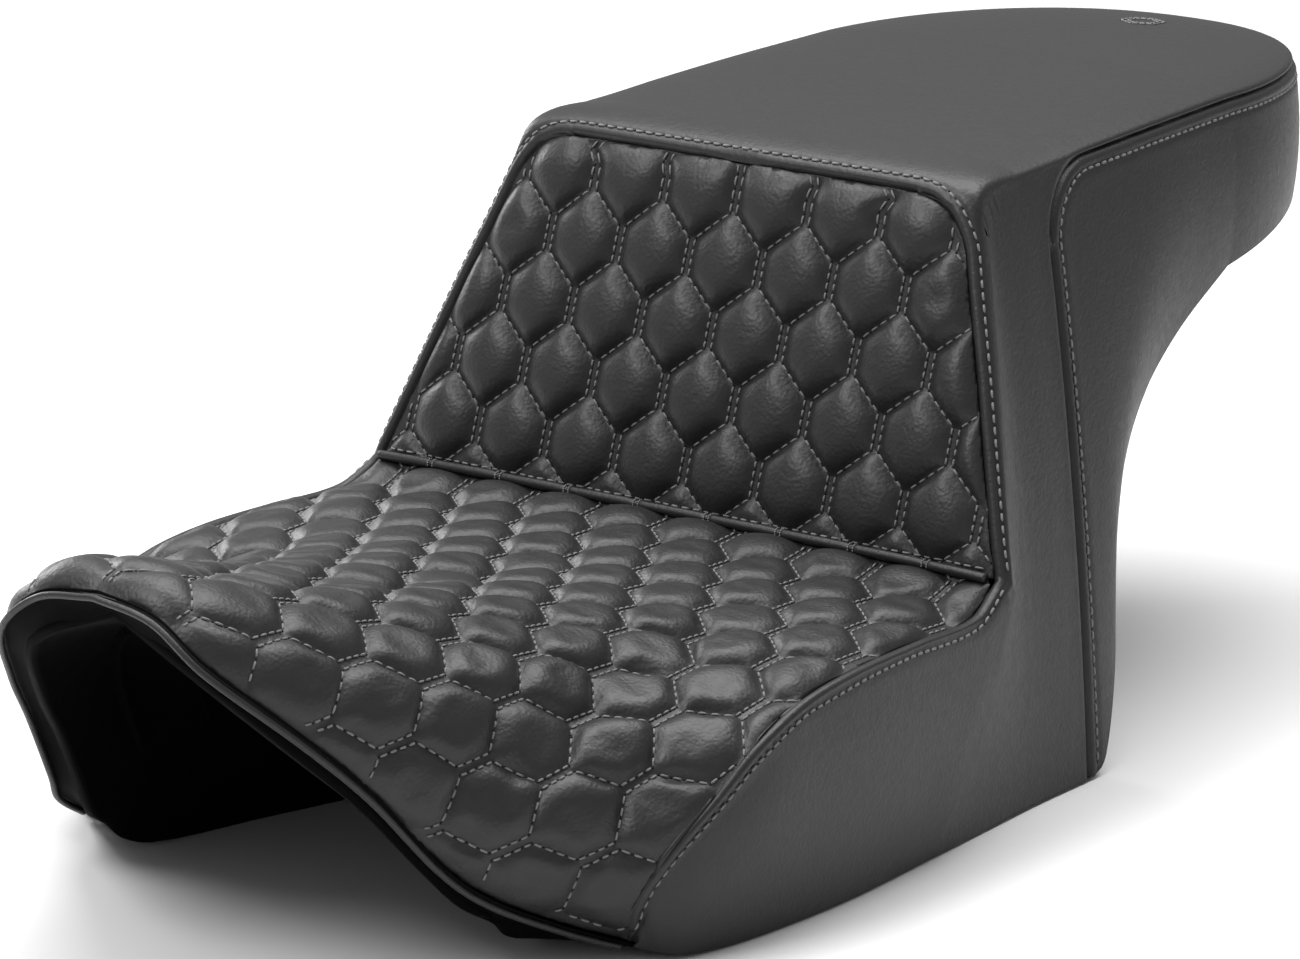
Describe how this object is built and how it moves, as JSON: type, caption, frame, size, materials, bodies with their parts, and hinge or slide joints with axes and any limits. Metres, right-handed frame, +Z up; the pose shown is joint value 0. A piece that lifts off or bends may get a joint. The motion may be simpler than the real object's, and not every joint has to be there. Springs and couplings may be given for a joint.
{
  "type": "motorcycle seat",
  "caption": "Step-up two-person motorcycle seat with a quilted rider bucket and lumbar panel, a raised plain pillion, and a captive screw at the rear tab.",
  "frame": {"origin": "under the middle of the seat's box, at the height of the pan's lowest rim", "axes": "+Y towards the rear of the motorcycle, +Z up as fitted, +X to the rider's left hand side when +Y points back; the seat is the same on both sides"},
  "size_m": [0.3686, 0.8388, 0.278],
  "materials": {
    "quilted_vinyl": "satin black vinyl, fine grain",
    "plain_vinyl": "satin black vinyl, fine grain",
    "trim_vinyl": "black welt vinyl",
    "sew_foam": "grey sew foam",
    "gel": "blue gel",
    "moulded_foam": "moulded urethane foam",
    "pan_plastic": "black moulded, light texture",
    "staple_steel": "galvanised",
    "bracket_steel": "black powder coat",
    "rivet_alloy": "plain",
    "black_screws": "black oxide",
    "screw_chrome": "chromed",
    "nylon": "natural nylon",
    "bumper_rubber": "black rubber"
  },
  "bodies": {
    "seat": {"rider_cover": "quilted_vinyl", "lumbar_cover": "quilted_vinyl", "main_cover": "plain_vinyl", "side_boxing": "plain_vinyl", "lumbar_welt": "trim_vinyl", "nose_piping": "trim_vinyl", "rider_backing": "sew_foam", "lumbar_backing": "sew_foam", "rider_gel_pad": "gel", "pillion_gel_pad": "gel", "rider_foam": "moulded_foam", "lumbar_foam": "moulded_foam", "pillion_foam": "moulded_foam", "base_pan": "pan_plastic", "cover_staples": "staple_steel", "front_tongue": "bracket_steel", "tongue_rivets": "rivet_alloy", "rear_tab": "bracket_steel", "rear_tab_screws": "black_screws", "front_bumpers": "bumper_rubber", "middle_bumpers": "bumper_rubber", "rear_bumpers": "bumper_rubber"},
    "washer": {"retaining_washer": "nylon"},
    "screw": {"mounting_screw": "screw_chrome"}
  },
  "joints": [
    {"name": "screw_float", "type": "slide", "parent": "seat", "child": "washer", "axis": [0, 0, 1], "range_m": [0, 0.0038]},
    {"name": "screw_spin", "type": "hinge", "parent": "washer", "child": "screw", "pos_m": [0, 0.4044, 0.2], "axis": [0, 0, 1], "continuous": true}
  ]
}
